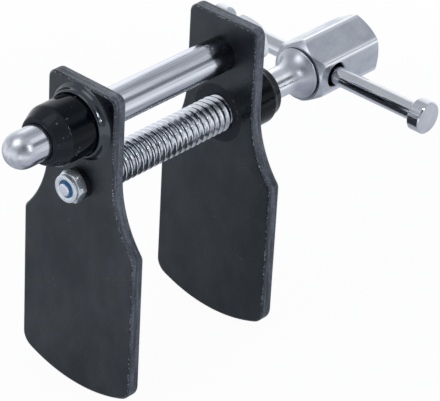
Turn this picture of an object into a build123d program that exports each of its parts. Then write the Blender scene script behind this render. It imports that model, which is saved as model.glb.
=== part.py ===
# Brake piston rewind tool: two black plates on a guide rod, spread apart by a lead screw
# with a hex head and a sliding tommy bar. Millimetres, +Z up.
# The origin is the middle of the fixed plate's pressing face: +X points from that face
# towards the handle, the moving plate is on the -X side, and Y is the plates' width.
import math
import os
from build123d import *

os.makedirs("parts", exist_ok=True)

# Plates, both cut to one outline
plate_thickness = 6.0
plate_gap = 74.0                # between the inner faces, as the tool stands in the photograph
neck_width = 36.4
neck_corner_radius = 4.0
body_width = 60.6
body_corner_radius = 7.0
shoulder_corner_radius = 3.5
flare_radius = 47.5             # the concave sweep from the neck out to the shoulder
top_above_screw = 44.0
flare_start_above_screw = 8.0
foot_below_screw = 96.0
foot_arc_radius = 68.0
plate_edge_chamfer = 0.6
corner_search = 0.01            # how near a height a corner must be to be picked

# Heights of the two shafts above the origin
screw_height = 60.0
rod_above_screw = 27.5

# Guide rod, its bush on the moving plate and its nut on the fixed plate
rod_diameter = 15.0
rod_past_bush = 16.4
rod_stud_diameter = 12.0
rod_stud_past_nut = 1.0
rod_nut_across_flats = 19.0
rod_nut_height = 10.0
rod_washer_diameter = 21.0
rod_washer_thickness = 2.0
rod_nut_turn = 8.0              # degrees that the nut's top flat leans
tube_diameter = 25.4            # bush and boss are cut from one size of round bar
bush_length_outside = 22.7
bush_nose_length = 6.2
bush_nose_diameter = 19.4

# Weld beads round the bush and the boss
weld_leg_on_plate = 3.4
weld_leg_on_tube = 3.8
weld_crown = 0.4                # how far the bead's middle stands out of the straight line

# Threaded boss on the fixed plate, stepped down to a nose at its end
boss_length_outside = 20.9
boss_nose_length = 3.4
boss_shoulder_length = 1.4
boss_nose_root_diameter = 23.2
boss_nose_end_diameter = 22.0

# Lead screw: journal, threaded length, shank, bell and rim, spigot inside the hex head
screw_diameter = 15.875
thread_into_boss = 17.0         # past the fixed plate's outer face
journal_diameter = 8.0
shank_diameter = 13.0
bell_start = 34.0               # distances from the fixed plate's outer face
rim_start = 42.4
rim_width = 0.5
rim_diameter = 22.3
bell_edge_diameter = 21.5
bell_rim_rise = 1.6             # slope of the bell where it meets the rim
bell_rim_run = 1.0
groove_width = 0.5
groove_depth = 1.0
thread_end_chamfer = 1.2
spigot_diameter = 12.0
spigot_length = 22.0

# Hex head
hex_across_flats = 25.4
hex_length = 38.6
hex_turn = 30.0                 # degrees, so that two of its corners stand up and down
hex_edge_round = 2.0
hex_front_circle = 24.6         # the chamfers' circles on the end faces
hex_end_circle = 23.0
hex_front_angle = 55.0          # degrees that a chamfer slopes back from its end face
nut_chamfer_angle = 30.0
cone_margin = 1.0               # how far the chamfering cones reach past the corners
bar_from_hex_end = 10.7
bar_hole_countersink = 11.6

# Sliding tommy bar and its caps
bar_diameter = 8.0
bar_length = 106.0              # between the caps
bar_offset = -2.9               # where the bar has slid to, along Y
bar_spigot_radius = 3.0
bar_spigot_length = 5.0
cap_diameter = 14.0
cap_length = 6.2
cap_edge_chamfer = 0.5

nut_face_margin = 1.2           # how much smaller a nut's end circle is than its flats

# Lock nut, its nylon ring and its washer on the moving plate's outer face
lock_nut_across_flats = 12.0
lock_nut_hex_height = 4.6
lock_nut_collar_height = 1.4
lock_nut_collar_root = 1.0      # how far the collar starts back inside the hexagon's chamfer
lock_nut_collar_round = 0.5
lock_nut_collar_diameter = 11.7
lock_nut_mouth_diameter = 9.0
lock_nut_turn = -3.0
nylon_ring_height = 1.6
nylon_ring_depth = 0.5          # below the collar's rim
journal_end_depth = 0.9         # the screw's end, below the collar's rim
journal_end_chamfer = 0.7
washer_diameter = 13.0
washer_thickness = 1.6

# Clearances
running_clearance = 0.05        # on the radius, where shafts turn or slide
fixed_clearance = 0.02          # on the radius, between pieces that are welded or pressed
end_play = 0.15                 # along the screw, on each side of the moving plate
hole_clearance = 1.0            # on the radius, round the sliding bar

# Places along X that follow from the sizes above
fixed_outer = 0.0
fixed_inner = fixed_outer - plate_thickness
moving_inner = fixed_inner - plate_gap
moving_outer = moving_inner - plate_thickness
bush_end = moving_outer - bush_length_outside
boss_end = fixed_outer + boss_length_outside
boss_nose_start = boss_end - boss_nose_length
rod_tip = bush_end - rod_past_bush
rod_nut_start = fixed_outer + rod_washer_thickness
rod_nut_end = rod_nut_start + rod_nut_height
washer_face = moving_outer - end_play - washer_thickness
lock_nut_shoulder = washer_face - lock_nut_hex_height
lock_nut_end = lock_nut_shoulder - lock_nut_collar_height
journal_end = lock_nut_end + journal_end_depth
ring_back = lock_nut_end + nylon_ring_depth + nylon_ring_height
shoulder_face = moving_inner + end_play
thread_end = fixed_outer + thread_into_boss
rim_end = rim_start + rim_width
hex_start = rim_end + groove_width
hex_end = hex_start + hex_length
bar_x = hex_start + bar_from_hex_end

# Heights and radii that follow
rod_height = screw_height + rod_above_screw
rod_radius = rod_diameter / 2
tube_radius = tube_diameter / 2
screw_radius = screw_diameter / 2
shank_radius = shank_diameter / 2
journal_radius = journal_diameter / 2
bar_radius = bar_diameter / 2
stud_radius = rod_stud_diameter / 2
spigot_radius = spigot_diameter / 2
rim_radius = rim_diameter / 2
lock_nut_collar_radius = lock_nut_collar_diameter / 2
lock_nut_mouth_radius = lock_nut_mouth_diameter / 2

# Bores and seats
rod_bore = rod_radius + running_clearance
screw_bore = screw_radius + running_clearance
journal_bore = journal_radius + running_clearance
journal_seat_radius = journal_radius + fixed_clearance
tube_seat_radius = tube_radius + fixed_clearance
stud_seat_radius = stud_radius + fixed_clearance
bar_hole_radius = bar_radius + hole_clearance


def across(x, height):
    """Sketch plane across the shafts at x and height, its own X along +Y and its Y along +Z."""
    return Plane(origin=(x, 0, height), x_dir=(0, 1, 0), z_dir=(1, 0, 0))


def along(height):
    """Sketch plane through a shaft's axis: its own X along +X, its Y the radius."""
    return Plane(origin=(0, 0, height), x_dir=(1, 0, 0), z_dir=(0, -1, 0))


def shaft_axis(height):
    return Axis((0, 0, height), (1, 0, 0))


def corner_radius(across_flats):
    return across_flats / 2 / math.cos(math.radians(30))


def disc(x, height, radius):
    """A circle across a shaft."""
    with BuildSketch(across(x, height)) as sketch:
        Circle(radius)
    return sketch.sketch


def hexagon(x, height, across_flats, turn):
    """A hexagon across a shaft; at turn 0 its corners point along Y and two flats are level."""
    with BuildSketch(across(x, height)) as sketch:
        RegularPolygon(corner_radius(across_flats), 6, rotation=turn)
    return sketch.sketch


def end_cones(x_start, x_end, height, across_flats, circles, angles):
    """Half profile that turns both ends of a hexagonal bar down to a circle."""
    reach = corner_radius(across_flats) + cone_margin
    start_run = (reach - circles[0] / 2) * math.tan(math.radians(angles[0]))
    end_run = (reach - circles[1] / 2) * math.tan(math.radians(angles[1]))
    with BuildSketch(along(height)) as sketch:
        Polygon(
            (x_start, 0),
            (x_start, circles[0] / 2),
            (x_start + start_run, reach),
            (x_end - end_run, reach),
            (x_end, circles[1] / 2),
            (x_end, 0),
            align=None,
        )
    return sketch.sketch


def nut_cones(x_start, x_end, height, across_flats):
    """The same for a nut, chamfered alike on both faces."""
    circle = across_flats - nut_face_margin
    angles = (nut_chamfer_angle, nut_chamfer_angle)
    return end_cones(x_start, x_end, height, across_flats, (circle, circle), angles)


def plate_outline(x):
    """The plates' outline, standing with its screw hole on the screw's axis."""
    with BuildSketch(across(x, screw_height)) as sketch:
        add(outline.sketch)
    return sketch.sketch


def weld_section(plate_face, direction, height):
    """Half section of a weld bead, from a tube's side down to a plate's face."""
    with BuildSketch(along(height)) as sketch:
        Polygon(
            (plate_face, tube_seat_radius),
            (plate_face + direction * weld_leg_on_tube, tube_seat_radius),
            (
                plate_face + direction * (weld_leg_on_tube / 2 + weld_crown),
                tube_seat_radius + weld_leg_on_plate / 2 + weld_crown,
            ),
            (plate_face, tube_seat_radius + weld_leg_on_plate),
            align=None,
        )
    return sketch.sketch


def bar_plane(y, outward):
    """Sketch plane across the tommy bar, facing along +Y or -Y."""
    return Plane(origin=(bar_x, y, screw_height), z_dir=(0, outward, 0))


# One plate outline, symmetric about the screw, in a sketch plane centred on the screw
neck = neck_width / 2
side = body_width / 2
flare_drop = math.sqrt(flare_radius**2 - (flare_radius - side + neck) ** 2)
shoulder_z = flare_start_above_screw - flare_drop
foot_rise = foot_arc_radius - math.sqrt(foot_arc_radius**2 - side**2)
foot_z = foot_rise - foot_below_screw
with BuildSketch() as outline:
    with BuildLine():
        Polyline((0, top_above_screw), (neck, top_above_screw), (neck, flare_start_above_screw))
        RadiusArc((neck, flare_start_above_screw), (side, shoulder_z), -flare_radius)
        Line((side, shoulder_z), (side, foot_z))
        RadiusArc((side, foot_z), (0, -foot_below_screw), foot_arc_radius)
        Line((0, -foot_below_screw), (0, top_above_screw))
    make_face()
    mirror(about=Plane.YZ)
    for height, radius in (
        (top_above_screw, neck_corner_radius),
        (shoulder_z, shoulder_corner_radius),
        (foot_z, body_corner_radius),
    ):
        corners = outline.vertices().filter_by_position(Axis.Y, height - corner_search, height + corner_search)
        fillet(corners, radius)

# Moving plate: the guide bush and the screw's journal pass through it
with BuildPart() as moving_plate:
    extrude(plate_outline(moving_outer), amount=plate_thickness)
    chamfer(moving_plate.edges().filter_by(Axis.X, reverse=True), plate_edge_chamfer)
    extrude(disc(moving_outer, rod_height, tube_seat_radius), amount=plate_thickness, mode=Mode.SUBTRACT)
    extrude(disc(moving_outer, screw_height, journal_bore), amount=plate_thickness, mode=Mode.SUBTRACT)
moving_plate.part.label = "moving_plate"
export_step(moving_plate.part, "parts/moving_plate.step")

# Fixed plate: the threaded boss and the guide rod's stud pass through it
with BuildPart() as fixed_plate:
    extrude(plate_outline(fixed_inner), amount=plate_thickness)
    chamfer(fixed_plate.edges().filter_by(Axis.X, reverse=True), plate_edge_chamfer)
    extrude(disc(fixed_inner, rod_height, stud_seat_radius), amount=plate_thickness, mode=Mode.SUBTRACT)
    extrude(disc(fixed_inner, screw_height, tube_seat_radius), amount=plate_thickness, mode=Mode.SUBTRACT)
fixed_plate.part.label = "fixed_plate"
export_step(fixed_plate.part, "parts/fixed_plate.step")

# Guide bush: a bored tube with a tapered nose, flush with the moving plate's inner face
with BuildPart() as guide_bush:
    with BuildSketch(along(rod_height)):
        Polygon(
            (bush_end, bush_nose_diameter / 2),
            (bush_end, rod_bore),
            (moving_inner, rod_bore),
            (moving_inner, tube_radius),
            (bush_end + bush_nose_length, tube_radius),
            align=None,
        )
    revolve(axis=shaft_axis(rod_height))
guide_bush.part.label = "guide_bush"
export_step(guide_bush.part, "parts/guide_bush.step")

# Weld bead round the bush
with BuildPart() as bush_weld:
    revolve(weld_section(moving_outer, -1, rod_height), axis=shaft_axis(rod_height))
bush_weld.part.label = "bush_weld"
export_step(bush_weld.part, "parts/bush_weld.step")

# Threaded boss, bored with clearance round the screw's crests
with BuildPart() as threaded_boss:
    with BuildSketch(along(screw_height)):
        Polygon(
            (fixed_inner, screw_bore),
            (fixed_inner, tube_radius),
            (boss_nose_start - boss_shoulder_length, tube_radius),
            (boss_nose_start, boss_nose_root_diameter / 2),
            (boss_end, boss_nose_end_diameter / 2),
            (boss_end, screw_bore),
            align=None,
        )
    revolve(axis=shaft_axis(screw_height))
threaded_boss.part.label = "threaded_boss"
export_step(threaded_boss.part, "parts/threaded_boss.step")

# Weld bead round the boss
with BuildPart() as boss_weld:
    revolve(weld_section(fixed_outer, 1, screw_height), axis=shaft_axis(screw_height))
boss_weld.part.label = "boss_weld"
export_step(boss_weld.part, "parts/boss_weld.step")

# Guide rod: domed end, plain length, and a stud that the nut holds in the fixed plate
with BuildPart() as guide_rod:
    with BuildSketch(along(rod_height)):
        with BuildLine():
            Polyline(
                (rod_tip + rod_radius, rod_radius),
                (fixed_inner, rod_radius),
                (fixed_inner, stud_radius),
                (rod_nut_end + rod_stud_past_nut, stud_radius),
                (rod_nut_end + rod_stud_past_nut, 0),
                (rod_tip, 0),
            )
            RadiusArc((rod_tip, 0), (rod_tip + rod_radius, rod_radius), rod_radius)
        make_face()
    revolve(axis=shaft_axis(rod_height))
guide_rod.part.label = "guide_rod"
export_step(guide_rod.part, "parts/guide_rod.step")

# Washer under the rod nut, on the fixed plate's outer face
with BuildPart() as rod_washer:
    with BuildSketch(across(fixed_outer, rod_height)):
        Circle(rod_washer_diameter / 2)
        Circle(stud_seat_radius, mode=Mode.SUBTRACT)
    extrude(amount=rod_washer_thickness)
rod_washer.part.label = "rod_washer"
export_step(rod_washer.part, "parts/rod_washer.step")

# Rod nut, on its washer
with BuildPart() as rod_nut:
    extrude(
        hexagon(rod_nut_start, rod_height, rod_nut_across_flats, rod_nut_turn),
        amount=rod_nut_height,
    )
    cones = nut_cones(rod_nut_start, rod_nut_end, rod_height, rod_nut_across_flats)
    revolve(cones, axis=shaft_axis(rod_height), mode=Mode.INTERSECT)
    extrude(disc(rod_nut_start, rod_height, stud_seat_radius), amount=rod_nut_height, mode=Mode.SUBTRACT)
rod_nut.part.label = "rod_nut"
export_step(rod_nut.part, "parts/rod_nut.step")

# Lead screw, turned from one bar: journal, thread, shank, bell, rim and spigot
with BuildPart() as lead_screw:
    with BuildSketch(along(screw_height)):
        with BuildLine():
            Polyline(
                (bell_start, shank_radius),
                (thread_end, shank_radius),
                (thread_end - thread_end_chamfer, screw_radius),
                (shoulder_face + thread_end_chamfer, screw_radius),
                (shoulder_face, screw_radius - thread_end_chamfer),
                (shoulder_face, journal_radius),
                (journal_end + journal_end_chamfer, journal_radius),
                (journal_end, journal_radius - journal_end_chamfer),
                (journal_end, 0),
                (hex_start + spigot_length, 0),
                (hex_start + spigot_length, spigot_radius),
                (hex_start, spigot_radius),
                (hex_start, rim_radius - groove_depth),
                (rim_end, rim_radius - groove_depth),
                (rim_end, rim_radius),
                (rim_start, rim_radius),
                (rim_start, bell_edge_diameter / 2),
            )
            Spline(
                (rim_start, bell_edge_diameter / 2),
                (bell_start, shank_radius),
                tangents=[(-bell_rim_run, -bell_rim_rise), (-1, 0)],
            )
        make_face()
    revolve(axis=shaft_axis(screw_height))
    with BuildSketch(bar_plane(0, 1)):
        Circle(bar_hole_radius)
    extrude(amount=hex_across_flats, both=True, mode=Mode.SUBTRACT)
lead_screw.part.label = "lead_screw"
export_step(lead_screw.part, "parts/lead_screw.step")

# Hex head: fixed on the screw's spigot and drilled across for the bar
with BuildPart() as hex_head:
    extrude(hexagon(hex_start, screw_height, hex_across_flats, hex_turn), amount=hex_length)
    fillet(hex_head.edges().filter_by(Axis.X), hex_edge_round)
    circles = (hex_front_circle, hex_end_circle)
    angles = (hex_front_angle, nut_chamfer_angle)
    cones = end_cones(hex_start, hex_end, screw_height, hex_across_flats, circles, angles)
    revolve(cones, axis=shaft_axis(screw_height), mode=Mode.INTERSECT)
    spigot_seat = disc(hex_start, screw_height, spigot_radius + fixed_clearance)
    extrude(spigot_seat, amount=spigot_length + fixed_clearance, mode=Mode.SUBTRACT)
    for outward in (-1, 1):
        with Locations(bar_plane(outward * hex_across_flats / 2, outward)):
            CounterSinkHole(bar_hole_radius, bar_hole_countersink / 2, depth=hex_across_flats)
hex_head.part.label = "hex_head"
export_step(hex_head.part, "parts/hex_head.step")

# Tommy bar: a round bar with a spigot at each end for its cap
with BuildPart() as tommy_bar:
    with BuildSketch(bar_plane(bar_offset - bar_length / 2, 1)):
        Circle(bar_radius)
    extrude(amount=bar_length)
    with BuildSketch(bar_plane(bar_offset - bar_length / 2 - bar_spigot_length, 1)):
        Circle(bar_spigot_radius)
    extrude(amount=bar_length + 2 * bar_spigot_length)
tommy_bar.part.label = "tommy_bar"
export_step(tommy_bar.part, "parts/tommy_bar.step")

# Bar caps, pressed on the bar's spigots
for name, outward in (("bar_cap_right", -1), ("bar_cap_left", 1)):
    seat = bar_plane(bar_offset + outward * bar_length / 2, outward)
    with BuildPart() as bar_cap:
        with BuildSketch(seat):
            Circle(cap_diameter / 2)
        extrude(amount=cap_length)
        chamfer(bar_cap.edges().filter_by(GeomType.CIRCLE), cap_edge_chamfer)
        with BuildSketch(seat):
            Circle(bar_spigot_radius + fixed_clearance)
        extrude(amount=bar_spigot_length + fixed_clearance, mode=Mode.SUBTRACT)
    bar_cap.part.label = name
    export_step(bar_cap.part, f"parts/{name}.step")

# Washer between the moving plate and the lock nut, turning with the screw
with BuildPart() as lock_washer:
    with BuildSketch(across(washer_face, screw_height)):
        Circle(washer_diameter / 2)
        Circle(journal_seat_radius, mode=Mode.SUBTRACT)
    extrude(amount=washer_thickness)
lock_washer.part.label = "lock_washer"
export_step(lock_washer.part, "parts/lock_washer.step")

# Lock nut: a hexagon with a round collar that holds the nylon ring
with BuildPart() as lock_nut:
    extrude(
        hexagon(lock_nut_shoulder, screw_height, lock_nut_across_flats, lock_nut_turn),
        amount=lock_nut_hex_height,
    )
    cones = nut_cones(lock_nut_shoulder, washer_face, screw_height, lock_nut_across_flats)
    revolve(cones, axis=shaft_axis(screw_height), mode=Mode.INTERSECT)
    with BuildSketch(along(screw_height)):
        Polygon(
            (lock_nut_shoulder + lock_nut_collar_root, 0),
            (lock_nut_shoulder + lock_nut_collar_root, lock_nut_collar_radius),
            (lock_nut_end + lock_nut_collar_round, lock_nut_collar_radius),
            (lock_nut_end, lock_nut_collar_radius - lock_nut_collar_round),
            (lock_nut_end, 0),
            align=None,
        )
    revolve(axis=shaft_axis(screw_height))
    with BuildSketch(along(screw_height)):
        Polygon(
            (lock_nut_end, 0),
            (lock_nut_end, lock_nut_mouth_radius),
            (ring_back, lock_nut_mouth_radius),
            (ring_back, journal_seat_radius),
            (washer_face, journal_seat_radius),
            (washer_face, 0),
            align=None,
        )
    revolve(axis=shaft_axis(screw_height), mode=Mode.SUBTRACT)
lock_nut.part.label = "lock_nut"
export_step(lock_nut.part, "parts/lock_nut.step")

# Nylon ring inside the lock nut's collar, gripping the screw's end
with BuildPart() as nylon_ring:
    with BuildSketch(across(lock_nut_end + nylon_ring_depth, screw_height)):
        Circle(lock_nut_mouth_radius - fixed_clearance)
        Circle(journal_seat_radius, mode=Mode.SUBTRACT)
    extrude(amount=nylon_ring_height)
nylon_ring.part.label = "nylon_ring"
export_step(nylon_ring.part, "parts/nylon_ring.step")
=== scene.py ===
import math

import bmesh
import bpy
from mathutils import Matrix, Quaternion, Vector


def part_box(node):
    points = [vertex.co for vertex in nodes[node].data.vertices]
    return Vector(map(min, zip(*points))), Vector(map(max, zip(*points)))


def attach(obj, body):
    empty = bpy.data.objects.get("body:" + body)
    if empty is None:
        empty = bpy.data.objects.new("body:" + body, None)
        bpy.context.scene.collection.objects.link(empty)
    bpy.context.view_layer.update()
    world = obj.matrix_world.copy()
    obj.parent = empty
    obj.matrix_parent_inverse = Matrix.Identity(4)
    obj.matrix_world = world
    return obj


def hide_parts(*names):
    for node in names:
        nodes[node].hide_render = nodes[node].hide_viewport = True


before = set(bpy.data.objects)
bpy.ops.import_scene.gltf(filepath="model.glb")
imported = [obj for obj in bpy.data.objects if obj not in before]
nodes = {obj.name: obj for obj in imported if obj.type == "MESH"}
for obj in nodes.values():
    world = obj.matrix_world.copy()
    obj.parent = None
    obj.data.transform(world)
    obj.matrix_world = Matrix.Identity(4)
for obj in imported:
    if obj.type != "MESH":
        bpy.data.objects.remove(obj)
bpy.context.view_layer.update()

# The camera stands off the tool's nose end, high and to its right, with a long lens.
# Its place, its aim and its small roll were fitted to the photograph's 440 by 401 frame.
scene = bpy.context.scene
camera_place = Vector((-0.7480, -0.6449, 0.6259))
camera_aim = Vector((-0.0260, -0.0211, 0.0358))
camera_roll = math.radians(-3.24)
film_width = 36
lens_length = 227.1

camera = bpy.data.objects.new("camera", bpy.data.cameras.new("camera"))
camera.data.sensor_width = film_width
camera.data.lens = lens_length
view = camera_aim - camera_place
camera.rotation_mode = "QUATERNION"
camera.rotation_quaternion = Quaternion(view, camera_roll) @ view.to_track_quat("-Z", "Y")
camera.location = camera_place
scene.collection.objects.link(camera)
scene.camera = camera

# The studio is a pale grey room with four soft boxes in it, and three lamps light the tool.
# A dark side, a dark corner and a dark flag give the bright metal its streaks.
# The camera itself sees the room as plain white.
scene.view_settings.view_transform = "Standard"
plain_white = (1, 1, 1, 1)
ceiling_light = (0.58, 0.60, 0.64, 1)
horizon_light = (0.92, 0.94, 0.98, 1)
horizon_top = 0.24
ceiling_from = 0.44
tool_aim = (-0.05, 0, 0.05)
nose_aim = (-0.09, 0, 0.09)

# Where each one is, the degrees from its middle where it ends and where it is full, and its light
room_lights = (
    ("dark side", (-0.45, -0.87, 0.12), 48, 32, (0.42, 0.44, 0.48, 1)),
    ("dark corner", (-0.30, -0.68, 0.67), 22, 12, (0.10, 0.11, 0.13, 1)),
    ("overhead soft box", (-0.05, 0.20, 0.97), 24, 8, (0.66, 0.68, 0.72, 1)),
    ("back soft box", (0.62, 0.75, 0.22), 34, 14, (1.34, 1.36, 1.40, 1)),
    ("front soft box", (0.64, -0.40, 0.655), 14, 5, (1.04, 1.06, 1.10, 1)),
    ("dark flag", (0.64, -0.655, 0.41), 12, 4, (0.16, 0.17, 0.19, 1)),
    ("near soft box", (-0.64, 0.24, 0.73), 19, 6, (1.15, 1.16, 1.19, 1)),
)

studio = bpy.data.worlds.new("studio")
scene.world = studio
studio.use_nodes = True
air = studio.node_tree
air.nodes.clear()


def join(tree, source, target):
    """Links one socket to another, or gives it a plain value."""
    if isinstance(source, bpy.types.NodeSocket):
        tree.links.new(source, target)
    else:
        target.default_value = source


def number(tree, operation, first, second=None):
    """A Math node; each input is a socket or a plain number. Returns its output."""
    node = tree.nodes.new("ShaderNodeMath")
    node.operation = operation
    for socket, value in zip(node.inputs, (first, second)):
        if value is not None:
            join(tree, value, socket)
    return node.outputs[0]


def spread(tree, value, low, high, to_low=0.0, to_high=1.0):
    """Stretches a value from one range to another, and holds it at both ends."""
    node = tree.nodes.new("ShaderNodeMapRange")
    join(tree, value, node.inputs["Value"])
    node.inputs["From Min"].default_value = low
    node.inputs["From Max"].default_value = high
    node.inputs["To Min"].default_value = to_low
    node.inputs["To Max"].default_value = to_high
    return node.outputs["Result"]


def between(tree, share, low, high):
    """A number that goes from low to high as a share goes from 0 to 1."""
    return spread(tree, share, 0.0, 1.0, low, high)


def blended(tree, amount, first, second):
    """A mix of two colours, each a socket or a plain colour. Returns its output."""
    node = tree.nodes.new("ShaderNodeMix")
    node.data_type = "RGBA"
    join(tree, amount, node.inputs["Factor"])
    join(tree, first, node.inputs[6])
    join(tree, second, node.inputs[7])
    return node.outputs[2]


def split(tree, vector):
    """The X, Y and Z of a vector socket, to be picked by name."""
    node = tree.nodes.new("ShaderNodeSeparateXYZ")
    join(tree, vector, node.inputs[0])
    return node.outputs


direction = air.nodes.new("ShaderNodeTexCoord").outputs["Generated"]
above_horizon = spread(air, split(air, direction)["Z"], horizon_top, ceiling_from)
room = blended(air, above_horizon, horizon_light, ceiling_light)
for name, towards, outer, inner, light in room_lights:
    aligned = air.nodes.new("ShaderNodeVectorMath")
    aligned.label = name
    aligned.operation = "DOT_PRODUCT"
    join(air, direction, aligned.inputs[0])
    aligned.inputs[1].default_value = Vector(towards).normalized()
    edge = (math.cos(math.radians(outer)), math.cos(math.radians(inner)))
    room = blended(air, spread(air, aligned.outputs["Value"], *edge), room, light)
seen = air.nodes.new("ShaderNodeLightPath")
room = blended(air, seen.outputs["Is Camera Ray"], room, plain_white)
backdrop = air.nodes.new("ShaderNodeBackground")
join(air, room, backdrop.inputs["Color"])
air_out = air.nodes.new("ShaderNodeOutputWorld")
join(air, backdrop.outputs[0], air_out.inputs["Surface"])


def soft_lamp(name, place, aim, width, height, power):
    """An oval studio lamp that points at the aim."""
    light = bpy.data.lights.new(name, "AREA")
    light.shape = "ELLIPSE"
    light.size = width
    light.size_y = height
    light.energy = power
    lamp = bpy.data.objects.new(name, light)
    lamp.location = place
    lamp.rotation_mode = "QUATERNION"
    lamp.rotation_quaternion = (Vector(aim) - Vector(place)).to_track_quat("-Z", "Y")
    scene.collection.objects.link(lamp)


soft_lamp("key lamp", (-0.50, 0.16, 0.98), tool_aim, width=0.70, height=0.70, power=1.6)
soft_lamp("upper strip", (0.06, -0.60, 0.52), nose_aim, width=0.03, height=0.16, power=0.38)
soft_lamp("lower strip", (0.03, -0.70, 0.33), nose_aim, width=0.03, height=0.10, power=0.24)

# The sweep's floor is white paper that the tool stands on. The camera sees it as white with the
# tool's faint shadow on it. In the metal it is greyer near the tool and brighter further off.
floor_level = -0.0362
floor_reach = 4.0
sweep_near = 0.20
sweep_far = 0.38
paper_white = (0.76, 0.79, 0.84, 1)
near_glow = (0.62, 0.64, 0.68, 1)
far_glow = (1.15, 1.17, 1.20, 1)
seen_glow_near = 0.955
mirrored_glow_near = 0.30

floor_mesh = bpy.data.meshes.new("floor")
shape = bmesh.new()
bmesh.ops.create_grid(shape, x_segments=1, y_segments=1, size=floor_reach)
bmesh.ops.translate(shape, verts=shape.verts, vec=(0, 0, floor_level))
shape.to_mesh(floor_mesh)
shape.free()
floor = bpy.data.objects.new("floor", floor_mesh)
scene.collection.objects.link(floor)

paper = bpy.data.materials.new("white paper")
paper.use_nodes = True
tree = paper.node_tree
paper_shader = tree.nodes["Principled BSDF"]
paper_shader.inputs["Base Color"].default_value = paper_white
paper_shader.inputs["Roughness"].default_value = 0.95
paper_shader.inputs["Specular IOR Level"].default_value = 0.0
path = tree.nodes.new("ShaderNodeLightPath")
where = tree.nodes.new("ShaderNodeTexCoord")
reach = tree.nodes.new("ShaderNodeVectorMath")
reach.operation = "LENGTH"
join(tree, where.outputs["Object"], reach.inputs[0])
far = spread(tree, reach.outputs["Value"], sweep_near, sweep_far)
glow = tree.nodes.new("ShaderNodeEmission")
glow_tint = blended(tree, far, near_glow, far_glow)
glow_tint = blended(tree, path.outputs["Is Camera Ray"], glow_tint, plain_white)
join(tree, glow_tint, glow.inputs["Color"])
mirrored = number(tree, "MAXIMUM", path.outputs["Is Glossy Ray"], path.outputs["Is Transmission Ray"])
seen_share = between(tree, far, seen_glow_near, 1.0)
seen_share = number(tree, "MULTIPLY", path.outputs["Is Camera Ray"], seen_share)
mirrored_share = number(tree, "MULTIPLY", mirrored, between(tree, far, mirrored_glow_near, 1.0))
share = number(tree, "MAXIMUM", seen_share, mirrored_share)
paper_mix = tree.nodes.new("ShaderNodeMixShader")
join(tree, share, paper_mix.inputs["Fac"])
join(tree, paper_shader.outputs[0], paper_mix.inputs[1])
join(tree, glow.outputs[0], paper_mix.inputs[2])
join(tree, paper_mix.outputs[0], tree.nodes["Material Output"].inputs["Surface"])
floor_mesh.materials.append(paper)

# The two plates are cut from one 6 mm steel outline, their edges ground round, and coated
# satin black. The coating is worn grey along the edges and bright at their corners, and the
# faces carry grey smudges and a few specks of dust.
mm = 0.001
screw_height = 60 * mm
rod_height = 87.5 * mm
plate_rounding = 1.1 * mm
tube_seat = 12.72 * mm
stud_seat = 6.02 * mm
journal_hole = 4.05 * mm
coat_black = (0.0010, 0.0020, 0.0045, 1)
coat_smudge = (0.039, 0.039, 0.043, 1)
coat_rubbed = (0.120, 0.134, 0.172, 1)
coat_tint = (0.84, 0.92, 1.0, 1)
dust_white = (0.30, 0.32, 0.35, 1)
worn_steel = (0.42, 0.44, 0.47, 1)

# How closely the meshes are measured and merged, and how finely they are rounded
merge_gap = 0.001 * mm
level_gap = 0.01 * mm
ring_gap = 0.1 * mm
hole_clearing = 0.3 * mm
flat_turn = math.radians(0.6)
outline_corners = 20
rounding_steps = 5
hole_steps = 64


def effect(name, inputs, outputs):
    """An empty shader node group with those named inputs and outputs."""
    group = bpy.data.node_groups.new(name, "ShaderNodeTree")
    for label, kind in inputs:
        group.interface.new_socket(name=label, in_out="INPUT", socket_type=kind)
    for label, kind in outputs:
        group.interface.new_socket(name=label, in_out="OUTPUT", socket_type=kind)
    start = group.nodes.new("NodeGroupInput")
    end = group.nodes.new("NodeGroupOutput")
    return group, start, end


def noise(tree, place, scale, detail=3.0, roughness=0.55):
    """A noise texture read at a place; the scale is a socket or a number."""
    node = tree.nodes.new("ShaderNodeTexNoise")
    node.inputs["Detail"].default_value = detail
    node.inputs["Roughness"].default_value = roughness
    join(tree, scale, node.inputs["Scale"])
    join(tree, place, node.inputs["Vector"])
    return node.outputs["Fac"]


def stretched(tree, place, factors):
    """A place with each axis scaled by its factor, so that a pattern on it is drawn out."""
    node = tree.nodes.new("ShaderNodeMapping")
    node.inputs["Scale"].default_value = factors
    join(tree, place, node.inputs["Vector"])
    return node.outputs["Vector"]


# Clouds and fine grain, for the uneven sheen of a coating, of bare or plated metal and of nylon
mottle, start, end = effect(
    "mottle",
    (("Place", "NodeSocketVector"), ("Cloud Scale", "NodeSocketFloat"), ("Grain Scale", "NodeSocketFloat")),
    (("Clouds", "NodeSocketFloat"), ("Grain", "NodeSocketFloat")),
)
cloud = noise(mottle, start.outputs["Place"], start.outputs["Cloud Scale"], detail=4.0, roughness=0.6)
join(mottle, spread(mottle, cloud, 0.36, 0.66), end.inputs["Clouds"])
grain = noise(mottle, start.outputs["Place"], start.outputs["Grain Scale"], detail=2.0, roughness=0.5)
join(mottle, spread(mottle, grain, 0.25, 0.75), end.inputs["Grain"])

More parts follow.
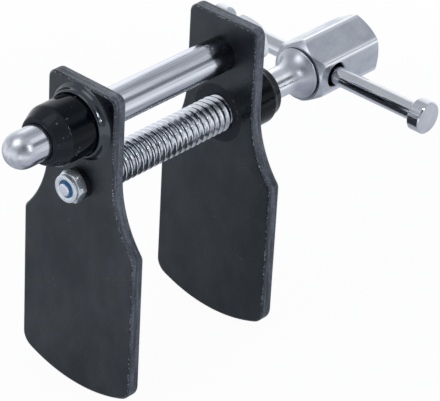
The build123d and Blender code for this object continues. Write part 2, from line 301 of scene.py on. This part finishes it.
# Specks scattered in patches, for dust, chips and bright spots in a stain
specks, start, end = effect(
    "specks",
    (("Place", "NodeSocketVector"), ("Scale", "NodeSocketFloat"), ("Size", "NodeSocketFloat")),
    (("Specks", "NodeSocketFloat"),),
)
cells = specks.nodes.new("ShaderNodeTexVoronoi")
join(specks, start.outputs["Place"], cells.inputs["Vector"])
join(specks, start.outputs["Scale"], cells.inputs["Scale"])
patchy = noise(specks, start.outputs["Place"], 140.0, detail=2.0)
speck_reach = number(specks, "MULTIPLY", start.outputs["Size"], spread(specks, patchy, 0.42, 0.62))
inside = number(specks, "SUBTRACT", speck_reach, cells.outputs["Distance"])
join(specks, spread(specks, inside, 0.0, 0.08), end.inputs["Specks"])


def place_group(tree, group, place, **values):
    """A node group in a material, read at a place and given its own values."""
    node = tree.nodes.new("ShaderNodeGroup")
    node.node_tree = group
    join(tree, place, node.inputs["Place"])
    for label, value in values.items():
        node.inputs[label.replace("_", " ")].default_value = value
    return node


def finish_of(name, colour, metallic, roughness, gloss=0.5):
    """A material with its plain values: returns it, its tree, its shader and its coordinates."""
    material = bpy.data.materials.new(name)
    material.use_nodes = True
    tree = material.node_tree
    shader = tree.nodes["Principled BSDF"]
    shader.inputs["Base Color"].default_value = colour
    shader.inputs["Metallic"].default_value = metallic
    shader.inputs["Roughness"].default_value = roughness
    shader.inputs["Specular IOR Level"].default_value = gloss
    where = tree.nodes.new("ShaderNodeTexCoord")
    return material, tree, shader, where


def relief(tree, shader, height, depth, strength):
    """Lets a height from 0 to 1 stand out of the surface by a depth in metres."""
    bump = tree.nodes.new("ShaderNodeBump")
    bump.inputs["Strength"].default_value = strength
    bump.inputs["Distance"].default_value = depth
    join(tree, height, bump.inputs["Height"])
    join(tree, bump.outputs["Normal"], shader.inputs["Normal"])


plate_coating, tree, shader, where = finish_of(
    "plate coating", coat_black, metallic=0.0, roughness=0.30, gloss=0.56
)
shader.inputs["Specular Tint"].default_value = coat_tint
place = where.outputs["Object"]
flatness = number(tree, "ABSOLUTE", split(tree, where.outputs["Normal"])["X"])
rim = spread(tree, flatness, 0.90, 0.30)
crease = number(tree, "MULTIPLY", spread(tree, flatness, 0.99, 0.93), spread(tree, flatness, 0.40, 0.80))
clouds = place_group(tree, mottle, place, Cloud_Scale=38.0, Grain_Scale=1500.0)
smudges = place_group(tree, mottle, stretched(tree, place, (1, 1, 0.6)), Cloud_Scale=75.0, Grain_Scale=420.0)
rubbing = noise(tree, stretched(tree, place, (520, 36, 36)), 1.0, detail=4.0, roughness=0.7)
scuffs = noise(tree, place, 900.0, detail=3.0, roughness=0.7)
rubbing = spread(tree, rubbing, 0.40, 0.58, 0.10, 1.0)
scuffs = spread(tree, scuffs, 0.34, 0.60, 0.30, 1.0)
rubbed = number(tree, "MULTIPLY", rim, number(tree, "MULTIPLY", rubbing, scuffs))
worn_line = number(tree, "MULTIPLY", crease, spread(tree, noise(tree, place, 1300.0, detail=2.0), 0.54, 0.66))
dust = place_group(tree, specks, place, Scale=330.0, Size=0.10)
chips = place_group(tree, specks, place, Scale=1500.0, Size=0.34)
chipped = number(tree, "MULTIPLY", chips.outputs["Specks"], crease)
broken_up = between(tree, clouds.outputs["Grain"], 0.15, 0.85)
smudged = number(tree, "MULTIPLY", smudges.outputs["Clouds"], broken_up)
colour = blended(tree, smudged, coat_black, coat_smudge)
colour = blended(tree, rubbed, colour, coat_rubbed)
colour = blended(tree, number(tree, "MULTIPLY", dust.outputs["Specks"], 0.6), colour, dust_white)
colour = blended(tree, number(tree, "MULTIPLY", worn_line, 0.5), colour, worn_steel)
colour = blended(tree, chipped, colour, worn_steel)
join(tree, colour, shader.inputs["Base Color"])
sheen = between(tree, clouds.outputs["Clouds"], 0.22, 0.38)
join(tree, number(tree, "ADD", sheen, number(tree, "MULTIPLY", rim, 0.08)), shader.inputs["Roughness"])
relief(tree, shader, number(tree, "ADD", clouds.outputs["Grain"], rubbed), depth=0.02 * mm, strength=0.6)


def finished(shape, name, body, material, replaced, sharp=38):
    """Makes a bmesh a piece of the tool, smooth but for its sharp edges, in place of CAD nodes."""
    mesh = bpy.data.meshes.new(name)
    shape.to_mesh(mesh)
    shape.free()
    mesh.materials.append(material)
    mesh.shade_smooth()
    mesh.set_sharp_from_angle(angle=math.radians(sharp))
    piece = bpy.data.objects.new(name, mesh)
    scene.collection.objects.link(piece)
    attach(piece, body)
    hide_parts(*replaced)
    return piece


def out_from(point, height):
    """How far a point is from an axis along the tool at that height."""
    return math.hypot(point.y, point.z - height)


def cut_away(shape, x, outward, **options):
    """Cuts a bmesh square across the tool at x, drops its outward side, returns what the cut made."""
    return bmesh.ops.bisect_plane(
        shape,
        geom=shape.verts[:] + shape.edges[:] + shape.faces[:],
        plane_co=(x, 0, 0),
        plane_no=(outward, 0, 0),
        clear_outer=True,
        **options,
    )["geom_cut"]


def rounded_plate(name, holes):
    """A plate on a CAD plate's outline, its edges rolled round and its holes cut through."""
    low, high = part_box(name)
    middle = (low[0] + high[0]) / 2
    shape = bmesh.new()
    shape.from_mesh(nodes[name].data)
    bmesh.ops.remove_doubles(shape, verts=shape.verts, dist=merge_gap)
    cut_away(shape, middle, 1, clear_inner=True)
    for height, radius in holes:
        near = [v for v in shape.verts if out_from(v.co, height) < radius + hole_clearing]
        bmesh.ops.delete(shape, geom=near, context="VERTS")
    bmesh.ops.contextual_create(shape, geom=shape.edges[:])
    bmesh.ops.dissolve_limit(shape, angle_limit=flat_turn, verts=shape.verts, edges=shape.edges)
    bmesh.ops.translate(shape, verts=shape.verts, vec=(low[0] - middle, 0, 0))
    raised = bmesh.ops.extrude_face_region(shape, geom=shape.faces[:])["geom"]
    raised = [v for v in raised if isinstance(v, bmesh.types.BMVert)]
    bmesh.ops.translate(shape, verts=raised, vec=(high[0] - low[0], 0, 0))
    bmesh.ops.recalc_face_normals(shape, faces=shape.faces)
    outline = [e for e in shape.edges if abs(e.verts[0].co.x - e.verts[1].co.x) < level_gap]
    bmesh.ops.bevel(
        shape,
        geom=outline,
        offset=plate_rounding,
        segments=rounding_steps,
        profile=0.5,
        affect="EDGES",
        material=-1,
    )
    for x in (low[0], high[0]):
        flat_faces = [f for f in shape.faces if len(f.verts) > outline_corners]
        face = min(flat_faces, key=lambda f: abs(f.calc_center_median().x - x))
        rim_edges = face.edges[:]
        bmesh.ops.delete(shape, geom=[face], context="FACES_ONLY")
        for height, radius in holes:
            turn = Matrix.Translation((x, 0, height)) @ Matrix.Rotation(math.pi / 2, 4, "Y")
            ring = bmesh.ops.create_circle(shape, segments=hole_steps, radius=radius, matrix=turn)["verts"]
            rim_edges += list({e for v in ring for e in v.link_edges})
        bmesh.ops.triangle_fill(shape, edges=rim_edges, use_beauty=True)
    for height, radius in holes:
        ring = [
            e
            for e in shape.edges
            if e.is_boundary and all(abs(out_from(v.co, height) - radius) < ring_gap for v in e.verts)
        ]
        bmesh.ops.bridge_loops(shape, edges=ring)
    bmesh.ops.recalc_face_normals(shape, faces=shape.faces)
    return shape


moving_holes = ((rod_height, tube_seat), (screw_height, journal_hole))
fixed_holes = ((rod_height, stud_seat), (screw_height, tube_seat))
for name, body, holes in (
    ("moving_plate", "moving_side", moving_holes),
    ("fixed_plate", "fixed_side", fixed_holes),
):
    shape = rounded_plate(name, holes)
    piece = finished(shape, name.replace("_", "-"), body, plate_coating, (name,))
    even = piece.modifiers.new("even shading", "WEIGHTED_NORMAL")
    even.keep_sharp = True

# The bush and the boss are turned from round bar, welded into the plates and coated gloss
# black: the bush is a guide tube with a tapered nose, the boss is threaded for the screw.
turned_black = (0.0015, 0.0025, 0.0045, 1)
turned_grey = (0.030, 0.033, 0.039, 1)
seated_black = (0.032, 0.034, 0.040, 1)
turning_steps = 96
nose_rounding = 0.9 * mm
bush_bore = 7.55 * mm
bush_nose = 6.2 * mm
bush_nose_radius = 9.7 * mm
boss_bore = 7.99 * mm
boss_shoulder = 4.8 * mm
boss_nose = 3.4 * mm
boss_neck_radius = 11.6 * mm
boss_nose_radius = 11.0 * mm
boss_flush_face = -6 * mm


def drawn(shape, points, height, closed):
    """Draws (x, radius) points as a line of edges, above an axis along the tool at that height."""
    line = [shape.verts.new((x, 0, height + radius)) for x, radius in points]
    following = line[1:] + line[:1] if closed else line[1:]
    for first, second in zip(line, following):
        shape.edges.new((first, second))
    return line


def turned(profile, rounded, height, steps=turning_steps):
    """Spins a line of (x, radius) points about an axis along the tool at that height.

    A profile that ends on its first point is closed. Rounded gives the index and the size of
    each corner that is rolled round.
    """
    shape = bmesh.new()
    closed = profile[0] == profile[-1]
    line = drawn(shape, profile[:-1] if closed else profile, height, closed)
    for index, size in rounded.items():
        bmesh.ops.bevel(
            shape,
            geom=[line[index]],
            offset=size,
            segments=rounding_steps,
            profile=0.5,
            affect="VERTICES",
            material=-1,
        )
    bmesh.ops.spin(
        shape,
        geom=shape.verts[:] + shape.edges[:],
        cent=(0, 0, height),
        axis=(1, 0, 0),
        angle=2 * math.pi,
        steps=steps,
        use_merge=True,
    )
    bmesh.ops.remove_doubles(shape, verts=shape.verts, dist=merge_gap)
    bmesh.ops.recalc_face_normals(shape, faces=shape.faces)
    return shape


gloss_black, tree, shader, where = finish_of(
    "gloss black", turned_black, metallic=0.0, roughness=0.12, gloss=0.12
)
shader.inputs["Specular Tint"].default_value = coat_tint
place = where.outputs["Object"]
clouds = place_group(tree, mottle, place, Cloud_Scale=120.0, Grain_Scale=900.0)
lathe_marks = noise(tree, stretched(tree, place, (2600, 60, 60)), 1.0, detail=2.0)
endwise = number(tree, "ABSOLUTE", split(tree, where.outputs["Normal"])["X"])
from_flush_face = number(tree, "SUBTRACT", split(tree, place)["X"], boss_flush_face)
proud = spread(tree, number(tree, "ABSOLUTE", from_flush_face), 0.2 * mm, 0.6 * mm)
thin_coat = number(tree, "MULTIPLY", spread(tree, endwise, 0.08, 0.30, 0.0, 0.55), proud)
dust = place_group(tree, specks, place, Scale=420.0, Size=0.20)
colour = blended(tree, thin_coat, turned_black, turned_grey)
colour = blended(tree, proud, seated_black, colour)
colour = blended(tree, number(tree, "MULTIPLY", dust.outputs["Specks"], 0.35), colour, dust_white)
join(tree, colour, shader.inputs["Base Color"])
gloss = between(tree, clouds.outputs["Clouds"], 0.06, 0.14)
join(tree, number(tree, "ADD", gloss, between(tree, proud, 0.22, 0.0)), shader.inputs["Roughness"])
ridges = number(tree, "ADD", clouds.outputs["Grain"], lathe_marks)
relief(tree, shader, ridges, depth=0.006 * mm, strength=0.4)

low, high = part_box("guide_bush")
bush_radius = (high[1] - low[1]) / 2
bush_line = (
    (low[0], bush_nose_radius),
    (low[0] + bush_nose, bush_radius),
    (high[0], bush_radius),
    (high[0], bush_bore),
    (low[0], bush_bore),
    (low[0], bush_nose_radius),
)
bush = turned(bush_line, {0: 0.7 * mm, 1: nose_rounding, 4: 0.5 * mm}, rod_height)
finished(bush, "guide-bush", "moving_side", gloss_black, ("guide_bush",), sharp=50)

low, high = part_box("threaded_boss")
boss_line = (
    (low[0], bush_radius),
    (high[0] - boss_shoulder, bush_radius),
    (high[0] - boss_nose, boss_neck_radius),
    (high[0], boss_nose_radius),
    (high[0], boss_bore),
    (low[0], boss_bore),
    (low[0], bush_radius),
)
boss = turned(boss_line, {1: nose_rounding, 2: 0.5 * mm, 3: 0.5 * mm}, screw_height)
finished(boss, "threaded-boss", "fixed_side", gloss_black, ("threaded_boss",), sharp=50)

# A weld bead joins the bush to the moving plate, and another the boss to the fixed plate.
# Each runs out thin over the plate, is rolled at its top, and leaves a groove along the tube.
weld_black = (0.010, 0.012, 0.017, 1)

# Millimetres out from the plate's face, and out from the tube
bead_line = (
    (-0.3, -0.3),
    (2.7, -0.3),
    (2.7, 0.05),
    (3.15, 0.15),
    (3.5, 0.42),
    (3.62, 0.8),
    (3.5, 1.15),
    (3.15, 1.38),
    (2.6, 1.52),
    (1.9, 1.66),
    (1.35, 1.88),
    (0.9, 2.25),
    (0.5, 2.75),
    (0.2, 3.2),
    (-0.3, 3.5),
    (-0.3, -0.3),
)

weld_gloss, tree, shader, where = finish_of(
    "weld gloss", weld_black, metallic=0.0, roughness=0.14, gloss=0.90
)
shader.inputs["Specular Tint"].default_value = coat_tint
place = where.outputs["Object"]
clouds = place_group(tree, mottle, place, Cloud_Scale=260.0, Grain_Scale=1200.0)
swell = noise(tree, place, 190.0, detail=1.0)
join(tree, between(tree, clouds.outputs["Clouds"], 0.07, 0.14), shader.inputs["Roughness"])
fine = number(tree, "MULTIPLY", clouds.outputs["Grain"], 0.03)
relief(tree, shader, number(tree, "ADD", swell, fine), depth=0.35 * mm, strength=0.5)

for name, body, plate_face, outward, height in (
    ("bush_weld", "moving_side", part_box("moving_plate")[0][0], -1, rod_height),
    ("boss_weld", "fixed_side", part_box("fixed_plate")[1][0], 1, screw_height),
):
    line = [(plate_face + outward * x * mm, bush_radius + r * mm) for x, r in bead_line]
    bead = turned(line, {}, height)
    finished(bead, name.replace("_", "-"), body, weld_gloss, (name,), sharp=70)

# The guide rod is bright ground bar with a domed end. Grey marks run along it,
# and where it enters the fixed plate it is stained dark and speckled.
rod_steel = (0.60, 0.62, 0.67, 1)
rod_grey = (0.36, 0.38, 0.43, 1)
rod_stain = (0.10, 0.11, 0.13, 1)
stain_start = -15.0 * mm
stain_full = -13.5 * mm
stain_waver = 6 * mm
dome_start = -116.5 * mm
dome_full = -118.5 * mm

ground_bar, tree, shader, where = finish_of("ground bar", rod_steel, metallic=1.0, roughness=0.16)
place = where.outputs["Object"]
streaks = noise(tree, stretched(tree, place, (14, 420, 420)), 1.0, detail=4.0, roughness=0.65)
clouds = place_group(tree, mottle, place, Cloud_Scale=150.0, Grain_Scale=2200.0)
along = split(tree, place)["X"]
waver = number(tree, "MULTIPLY", noise(tree, place, 190.0), stain_waver)
stained = spread(tree, number(tree, "ADD", along, waver), stain_start, stain_full)
spots = place_group(tree, specks, place, Scale=900.0, Size=0.50)
stain_colour = blended(tree, number(tree, "MULTIPLY", spots.outputs["Specks"], 0.6), rod_stain, rod_steel)
colour = blended(tree, spread(tree, streaks, 0.46, 0.70), rod_steel, rod_grey)
colour = blended(tree, stained, colour, stain_colour)
join(tree, colour, shader.inputs["Base Color"])
domed = spread(tree, along, dome_start, dome_full, 0.0, 0.13)
worn_smooth = spread(tree, streaks, 0.35, 0.65, 0.14, 0.24)
join(tree, number(tree, "ADD", worn_smooth, domed), shader.inputs["Roughness"])
relief(tree, shader, number(tree, "ADD", streaks, clouds.outputs["Grain"]), depth=0.012 * mm, strength=0.6)


def dress(material, *names):
    """Gives CAD nodes that keep their shape a material."""
    for name in names:
        nodes[name].data.materials.clear()
        nodes[name].data.materials.append(material)


dress(ground_bar, "guide_rod")

# Plain zinc-plated hardware: the nut and washer that hold the guide rod in the fixed plate,
# and the lock nut that holds the screw, with a rolled collar on top of its hexagon.
zinc = (0.86, 0.88, 0.90, 1)
zinc_dull = (0.60, 0.67, 0.73, 1)
collar_height = 1.7 * mm
collar_lap = 0.1 * mm
collar_radius = 5.86 * mm
collar_lip = 4.3 * mm
collar_throat = 3.6 * mm
collar_bore = 4.5 * mm
small_turning_steps = 64

zinc_plate, tree, shader, where = finish_of("zinc plate", zinc, metallic=0.66, roughness=0.30)
place = where.outputs["Object"]
clouds = place_group(tree, mottle, place, Cloud_Scale=260.0, Grain_Scale=1600.0)
join(tree, blended(tree, clouds.outputs["Clouds"], zinc, zinc_dull), shader.inputs["Base Color"])
join(tree, between(tree, clouds.outputs["Clouds"], 0.22, 0.40), shader.inputs["Roughness"])
relief(tree, shader, clouds.outputs["Grain"], depth=0.012 * mm, strength=0.6)
dress(zinc_plate, "rod_washer", "rod_nut")


def edges_of(made):
    """The edges among what an operator made."""
    return [e for e in made if isinstance(e, bmesh.types.BMEdge)]


def put_in(shape, other, name):
    """Puts another bmesh's shape into this one, and frees it."""
    mesh = bpy.data.meshes.new(name)
    other.to_mesh(mesh)
    other.free()
    shape.from_mesh(mesh)


nut_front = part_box("lock_nut")[0][0]
collar_base = nut_front + collar_height
shape = bmesh.new()
shape.from_mesh(nodes["lock_nut"].data)
bmesh.ops.remove_doubles(shape, verts=shape.verts, dist=merge_gap)
cut = edges_of(cut_away(shape, collar_base, -1))
bmesh.ops.triangle_fill(shape, edges=cut, use_beauty=True)
bmesh.ops.recalc_face_normals(shape, faces=shape.faces)
collar_line = (
    (collar_base + collar_lap, collar_radius),
    (nut_front, collar_radius),
    (nut_front, collar_lip),
    (nut_front + 0.45 * mm, collar_throat),
    (nut_front + 0.8 * mm, collar_bore),
    (collar_base + collar_lap, collar_bore),
    (collar_base + collar_lap, collar_radius),
)
collar_corners = {1: 0.55 * mm, 2: 0.25 * mm, 3: 0.12 * mm}
put_in(shape, turned(collar_line, collar_corners, screw_height, small_turning_steps), "collar")
finished(shape, "lock-nut", "screw", zinc_plate, ("lock_nut",), sharp=30)

# The lead screw is rolled bright: a coarse right-hand thread between the plates, then a plain
# shank that flares into a bell against the hex head. Its journal turns in the moving plate.
thread_pitch = 3.175 * mm
thread_radius = 7.9375 * mm
thread_root = 6.30 * mm
crest_flat = 0.45 * mm
root_flat = 0.75 * mm
flank = (thread_pitch - crest_flat - root_flat) / 2
thread_from = -79.85 * mm
thread_to = 17.0 * mm
thread_chamfer = 1.2 * mm
steps_per_turn = 40
spare_turns = 3
thread_gap = 0.002 * mm
valley_top = 0.45 * mm
valley_floor = 0.1 * mm
bell_start = 31.0 * mm
bell_full = 36.0 * mm
screw_end = nut_front - 0.95 * mm
screw_end_radius = 2.6 * mm
neck_start = nut_front + 1.9 * mm
journal_radius = 4 * mm
journal_steps = 48
screw_steel = (0.76, 0.78, 0.82, 1)
bell_steel = (0.46, 0.48, 0.53, 1)
shaded_valley_grey = (0.05, 0.055, 0.065, 1)


def from_line(tree, first, second):
    """The distance from a line, given the two offsets square to it."""
    squares = [number(tree, "MULTIPLY", offset, offset) for offset in (first, second)]
    return number(tree, "SQRT", number(tree, "ADD", *squares))


rolled_steel, tree, shader, where = finish_of("rolled steel", screw_steel, metallic=1.0, roughness=0.20)
place = where.outputs["Object"]
clouds = place_group(tree, mottle, place, Cloud_Scale=170.0, Grain_Scale=1400.0)
parts = split(tree, place)
off_axis = number(tree, "SUBTRACT", parts["Z"], screw_height)
from_axis = from_line(tree, off_axis, parts["Y"])
on_thread = number(
    tree,
    "MULTIPLY",
    spread(tree, parts["X"], thread_to + 0.5 * mm, thread_to - 0.5 * mm),
    spread(tree, parts["X"], thread_from - 0.3 * mm, thread_from),
)
# The thread's roots are painted near black: painted shade in the valleys between the turns.
sunk = spread(tree, from_axis, thread_root + valley_top, thread_root + valley_floor)
valley_shade_mask = number(tree, "MULTIPLY", sunk, on_thread)
colour = blended(tree, number(tree, "MULTIPLY", clouds.outputs["Clouds"], 0.35), screw_steel, zinc_dull)
colour = blended(tree, valley_shade_mask, colour, shaded_valley_grey)
belled = spread(tree, parts["X"], bell_start, bell_full)
colour = blended(tree, belled, colour, bell_steel)
join(tree, colour, shader.inputs["Base Color"])
shine = between(tree, clouds.outputs["Clouds"], 0.13, 0.28)
join(tree, number(tree, "ADD", shine, number(tree, "MULTIPLY", belled, 0.13)), shader.inputs["Roughness"])
relief(tree, shader, clouds.outputs["Grain"], depth=0.01 * mm, strength=0.5)

thread = bmesh.new()
section = (
    (0, thread_root),
    (root_flat, thread_root),
    (root_flat + flank, thread_radius),
    (root_flat + flank + crest_flat, thread_radius),
    (thread_pitch, thread_root),
)
section_start = thread_from - 2 * thread_pitch
drawn(thread, [(section_start + x, radius) for x, radius in section], screw_height, closed=False)
turns = math.ceil((thread_to - thread_from) / thread_pitch) + spare_turns
bmesh.ops.spin(
    thread,
    geom=thread.verts[:] + thread.edges[:],
    cent=(0, 0, screw_height),
    axis=(1, 0, 0),
    dvec=(thread_pitch / steps_per_turn, 0, 0),
    angle=2 * math.pi * turns,
    steps=steps_per_turn * turns,
)
bmesh.ops.remove_doubles(thread, verts=thread.verts, dist=thread_gap)
for x, outward in ((thread_from, -1), (thread_to, 1)):
    cut = edges_of(cut_away(thread, x, outward, dist=thread_gap))
    bmesh.ops.contextual_create(thread, geom=cut)
bmesh.ops.recalc_face_normals(thread, faces=thread.faces)
for v in thread.verts:
    radius = out_from(v.co, screw_height)
    limit = thread_radius - thread_chamfer + min(v.co.x - thread_from, thread_to - v.co.x)
    if radius > limit:
        v.co.y *= limit / radius
        v.co.z = screw_height + (v.co.z - screw_height) * limit / radius

journal_line = (
    (screw_end, 0),
    (screw_end, 2.35 * mm),
    (screw_end + 0.3 * mm, 2.58 * mm),
    (neck_start, screw_end_radius),
    (neck_start, journal_radius),
    (thread_from + 1 * mm, journal_radius),
    (thread_from + 1 * mm, 0),
)

# Millimetres along the tool and out from the screw's axis: shank, bell, rim, groove and spigot
bell_line = (
    (16, 0),
    (16, 6.5),
    (33.5, 6.5),
    (35.5, 6.62),
    (37.2, 6.98),
    (38.8, 7.62),
    (40.1, 8.45),
    (41.2, 9.45),
    (42.0, 10.4),
    (42.4, 10.95),
    (42.9, 11.1),
    (42.95, 10.15),
    (43.4, 10.15),
    (43.4, 5.9),
    (48.5, 5.9),
    (48.5, 0),
)
shape = turned(journal_line, {1: 0.25 * mm, 2: 0.2 * mm}, screw_height, journal_steps)
put_in(shape, thread, "thread")
put_in(shape, turned([(x * mm, r * mm) for x, r in bell_line], {9: 0.2 * mm}, screw_height), "bell")
finished(shape, "lead-screw", "screw", rolled_steel, ("lead_screw",), sharp=36)

# The hex head is cut from hexagonal bar, its long edges rolled round, satin plated and
# cloudy from handling. It is drilled across for the tommy bar and countersunk on both sides.
head_steel = (0.56, 0.585, 0.63, 1)
head_dull = (0.43, 0.455, 0.51, 1)
head_corner_highlight = (0.78, 0.80, 0.84, 1)
bare_hole_and_shade = (0.012, 0.013, 0.016, 1)
corner_start = 13.75 * mm
corner_full = 14.25 * mm
hole_edge = 5.6 * mm
hole_inside = 5.2 * mm
hole_mouth = 12.5 * mm
hole_shade_full = 12.2 * mm
bar_low, bar_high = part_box("tommy_bar")
bar_place = (bar_low[0] + bar_high[0]) / 2

satin_head, tree, shader, where = finish_of("satin head", head_steel, metallic=1.0, roughness=0.30)
place = where.outputs["Object"]
clouds = place_group(tree, mottle, stretched(tree, place, (0.7, 1, 1)), Cloud_Scale=170.0, Grain_Scale=1500.0)
parts = split(tree, place)
off_axis = number(tree, "SUBTRACT", parts["Z"], screw_height)
# The rounded corners of the hexagon are painted paler: a painted highlight along its long edges.
corner = spread(tree, from_line(tree, off_axis, parts["Y"]), corner_start, corner_full)
across_bar = number(tree, "SUBTRACT", parts["X"], bar_place)
# Inside the cross hole the steel is painted near black: bare unplated steel, and painted shade in the hole.
hole_shade_mask = number(
    tree,
    "MULTIPLY",
    spread(tree, from_line(tree, across_bar, off_axis), hole_edge, hole_inside),
    spread(tree, number(tree, "ABSOLUTE", parts["Y"]), hole_mouth, hole_shade_full),
)
colour = blended(tree, clouds.outputs["Clouds"], head_steel, head_dull)
colour = blended(tree, corner, colour, head_corner_highlight)
colour = blended(tree, hole_shade_mask, colour, bare_hole_and_shade)
join(tree, colour, shader.inputs["Base Color"])
join(tree, between(tree, clouds.outputs["Clouds"], 0.22, 0.38), shader.inputs["Roughness"])
relief(tree, shader, clouds.outputs["Grain"], depth=0.01 * mm, strength=0.5)
dress(satin_head, "hex_head")

# The washer under the lock nut is blackened steel.
# It lies between the nut and the moving plate, and turns with the screw.
oxide_black = (0.014, 0.015, 0.018, 1)
black_oxide, tree, shader, where = finish_of("black oxide", oxide_black, metallic=0.0, roughness=0.38)
clouds = place_group(tree, mottle, where.outputs["Object"], Cloud_Scale=300.0, Grain_Scale=1500.0)
join(tree, between(tree, clouds.outputs["Clouds"], 0.30, 0.48), shader.inputs["Roughness"])
relief(tree, shader, clouds.outputs["Grain"], depth=0.01 * mm, strength=0.5)
dress(black_oxide, "lock_washer")

# The lock nut's ring is blue nylon, pressed under the collar so that it grips the screw.
# It stands as a low cone round the screw's end, as if pushed up when the screw came through.
nylon_blue = (0.02, 0.17, 0.40, 1)
nylon_deep = (0.015, 0.10, 0.26, 1)
ring_outside = 4.46 * mm
ring_inside = 2.62 * mm

nylon, tree, shader, where = finish_of("blue nylon", nylon_blue, metallic=0.0, roughness=0.34)
clouds = place_group(tree, mottle, where.outputs["Object"], Cloud_Scale=400.0, Grain_Scale=2000.0)
join(tree, blended(tree, clouds.outputs["Clouds"], nylon_blue, nylon_deep), shader.inputs["Base Color"])
relief(tree, shader, clouds.outputs["Grain"], depth=0.01 * mm, strength=0.4)
ring_line = (
    (nut_front + 1.35 * mm, ring_outside),
    (nut_front + 1.85 * mm, ring_outside),
    (nut_front + 1.85 * mm, ring_inside),
    (nut_front - 0.45 * mm, ring_inside),
    (nut_front - 0.4 * mm, 2.78 * mm),
    (nut_front + 1.0 * mm, 3.72 * mm),
    (nut_front + 1.35 * mm, ring_outside),
)
ring = turned(ring_line, {4: 0.08 * mm}, screw_height, small_turning_steps)
finished(ring, "nylon-ring", "screw", nylon, ("nylon_ring",), sharp=40)

# The tommy bar is a mirror-plated round bar that slides through the hex head.
# A turned cap, plated with it, is pressed on each end and stops it from falling out.
mirror_plate = (0.66, 0.67, 0.70, 1)
mirror_haze = (0.55, 0.57, 0.61, 1)
bar_chrome, tree, shader, where = finish_of("bar chrome", mirror_plate, metallic=1.0, roughness=0.07)
place = where.outputs["Object"]
clouds = place_group(tree, mottle, stretched(tree, place, (1, 0.4, 1)), Cloud_Scale=180.0, Grain_Scale=1800.0)
join(tree, blended(tree, clouds.outputs["Clouds"], mirror_plate, mirror_haze), shader.inputs["Base Color"])
join(tree, between(tree, clouds.outputs["Clouds"], 0.05, 0.14), shader.inputs["Roughness"])
relief(tree, shader, clouds.outputs["Grain"], depth=0.004 * mm, strength=0.4)
dress(bar_chrome, "tommy_bar", "bar_cap_left", "bar_cap_right")
